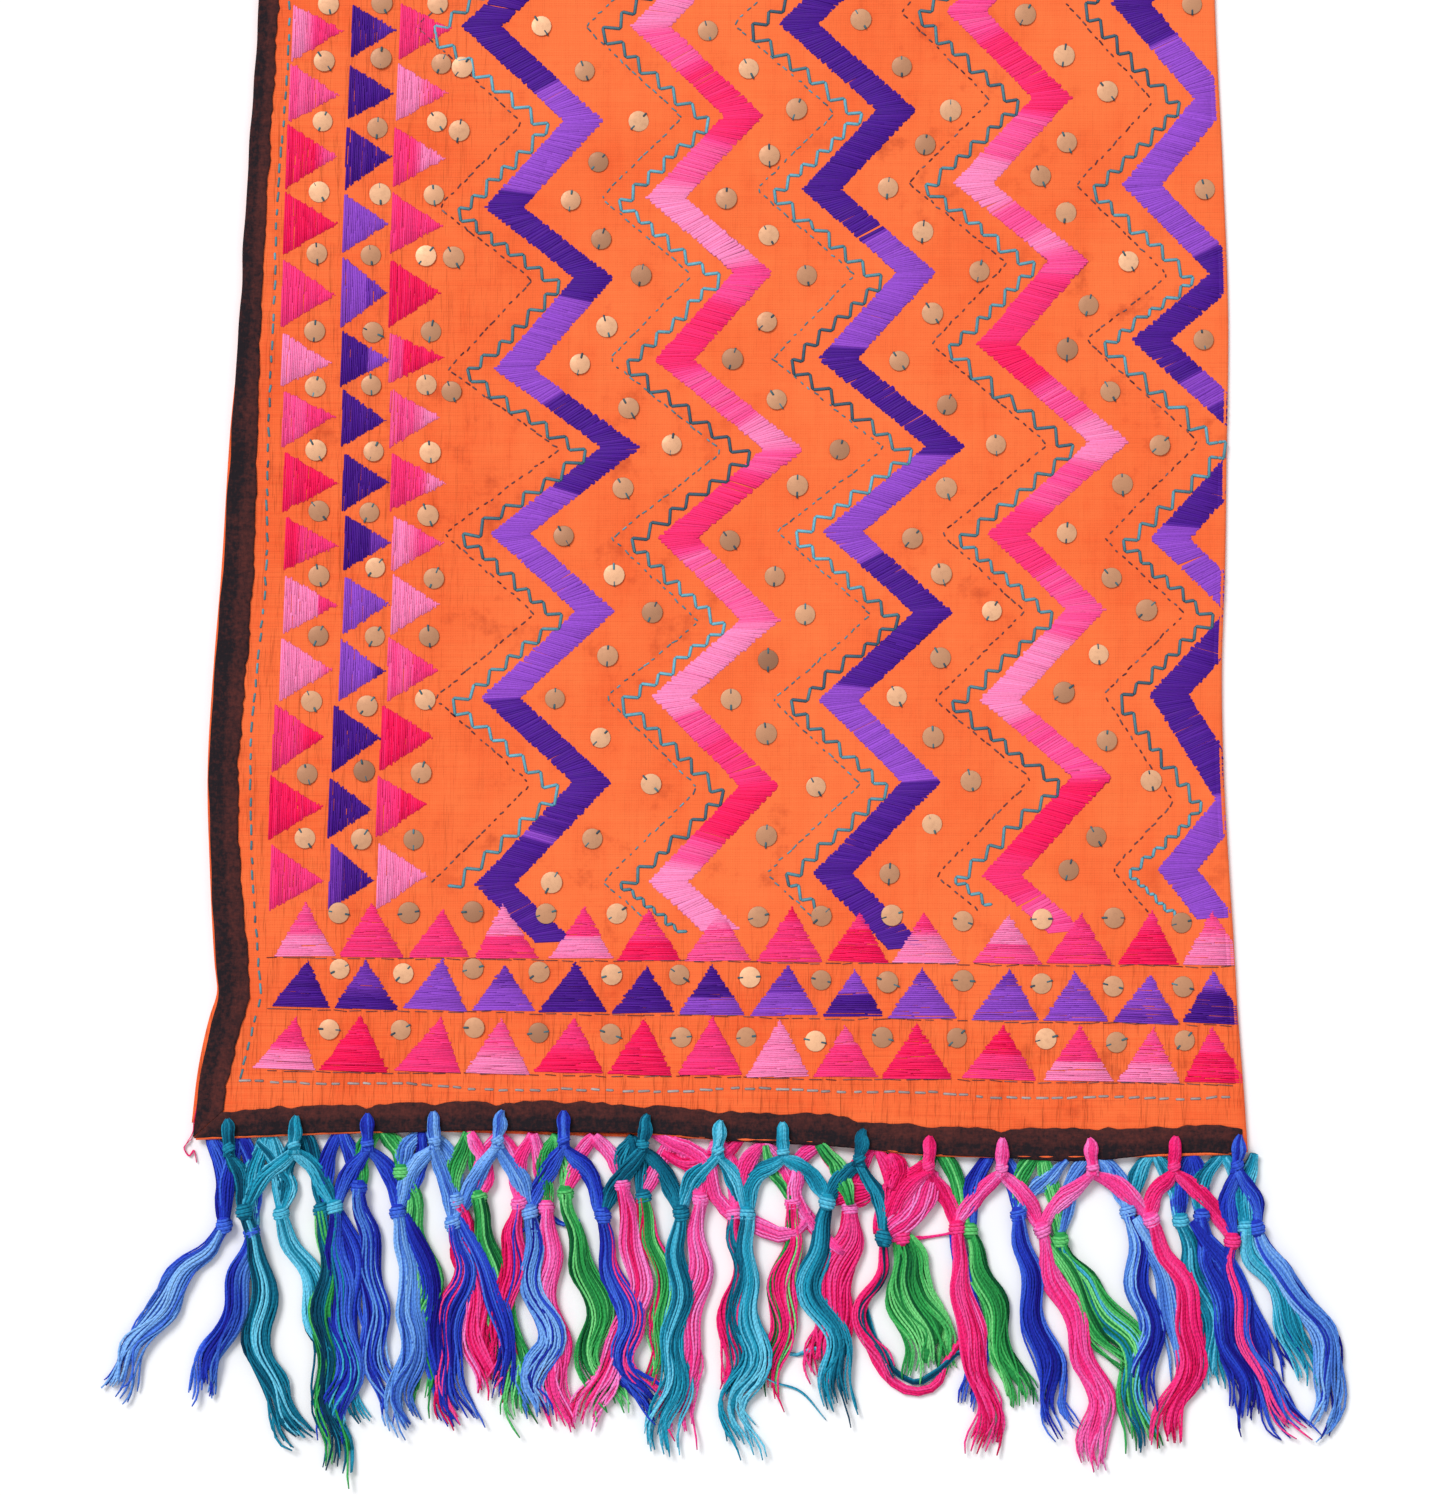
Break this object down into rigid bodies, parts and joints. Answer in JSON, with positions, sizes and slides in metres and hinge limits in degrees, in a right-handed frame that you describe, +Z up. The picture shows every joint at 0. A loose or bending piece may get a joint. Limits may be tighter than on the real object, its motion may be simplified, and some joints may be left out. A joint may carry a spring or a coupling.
{
  "type": "folded phulkari shawl laid flat",
  "caption": "Long embroidered cotton shawl, folded once along its length and laid flat, with a dark tape binding and a knotted yarn fringe at both ends.",
  "frame": {"origin": "middle of the whole shawl's box, on the floor", "axes": "+Z up, +Y along the shawl from the near hem to the far hem, +X across it from the open edge to the fold"},
  "size_m": [0.5874, 2.5088, 0.0085],
  "materials": {
    "cotton": "matt plain-weave cotton",
    "tape": "thin woven tape",
    "yarn": "soft loosely twisted yarn in many colours",
    "floss": "slightly shiny embroidery floss",
    "sequin": "thin coppery discs with a worn shine"
  },
  "bodies": {
    "root": {"cloth": "cotton", "tape_near_hem": "tape", "tape_far_hem": "tape", "tape_open_edge": "tape", "fringe_near_upper": "yarn", "fringe_near_under": "yarn", "fringe_far_upper": "yarn", "fringe_far_under": "yarn"}
  },
  "joints": []
}
